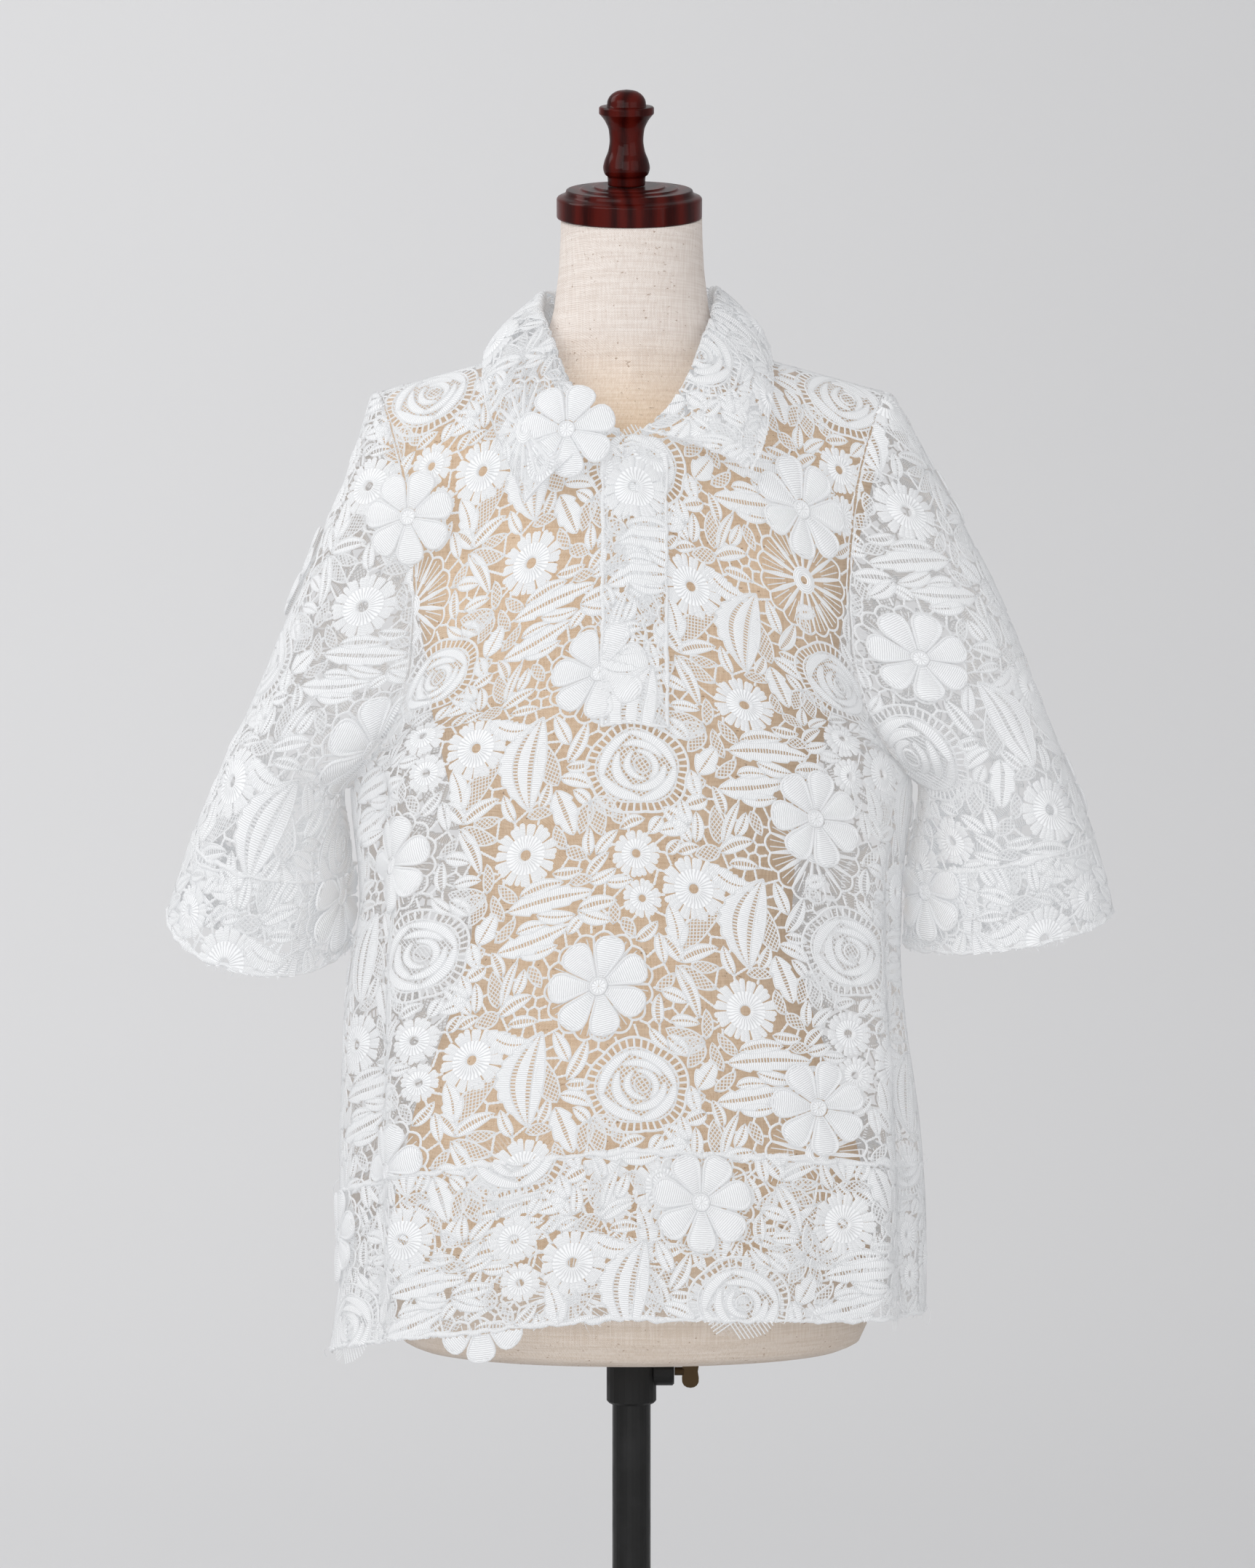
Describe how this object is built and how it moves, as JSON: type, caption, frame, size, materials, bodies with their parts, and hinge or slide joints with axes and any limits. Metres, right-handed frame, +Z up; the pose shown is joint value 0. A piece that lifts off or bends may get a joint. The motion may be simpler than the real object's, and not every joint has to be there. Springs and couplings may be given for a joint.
{
  "type": "lace shirt on a dress form",
  "caption": "Short-sleeved white lace shirt with a collar, half placket, wide cuffs and hem band, worn by a limbless linen dress form on a pole stand.",
  "frame": {"origin": "floor under the middle of the pole, at the base plate's underside", "axes": "+Z up, -Y towards the shirt's front, +X to the right of someone facing the front"},
  "size_m": [0.667, 0.3003, 1.5992],
  "materials": {
    "lace": "heavy white guipure lace, matt thread",
    "linen": "natural linen cover with slubs",
    "wood": "turned wood in glossy mahogany lacquer",
    "steel": "black enamel, satin",
    "clamp_plastic": "black moulded plastic, fine grain",
    "bronze": "dark bronzed screw"
  },
  "bodies": {
    "stand": {"base_plate": "steel", "base_socket": "steel", "pole": "steel"},
    "clamp": {"height_clamp": "clamp_plastic"},
    "form": {"torso": "linen", "neck_cap": "wood", "finial": "wood", "front": "lace", "back": "lace", "hem_band_front": "lace", "hem_band_back": "lace", "placket": "lace", "sleeve_left_front": "lace", "sleeve_left_back": "lace", "sleeve_right_front": "lace", "sleeve_right_back": "lace", "cuff_left": "lace", "cuff_right": "lace", "collar": "lace", "bloom_01_front": "lace", "bloom_02_front": "lace", "bloom_03_front": "lace", "bloom_04_front": "lace", "bloom_05_back": "lace", "bloom_06_back": "lace", "bloom_07_back": "lace", "bloom_08_back": "lace", "bloom_09_sleeve_left": "lace", "bloom_10_sleeve_right": "lace"},
    "clamp_screw": {"wing_screw": "bronze"}
  },
  "joints": [
    {"name": "height", "type": "slide", "parent": "stand", "child": "clamp", "axis": [0, 0, 1], "range_m": [-0.2, 0.1]},
    {"name": "form_turn", "type": "hinge", "parent": "clamp", "child": "form", "pos_m": [0, 0, 0.7207], "axis": [0, 0, 1], "continuous": true},
    {"name": "screw_turn", "type": "hinge", "parent": "clamp", "child": "clamp_screw", "pos_m": [0.0303, 0, 0.702], "axis": [1, 0, 0], "range_deg": [0, 270]}
  ]
}
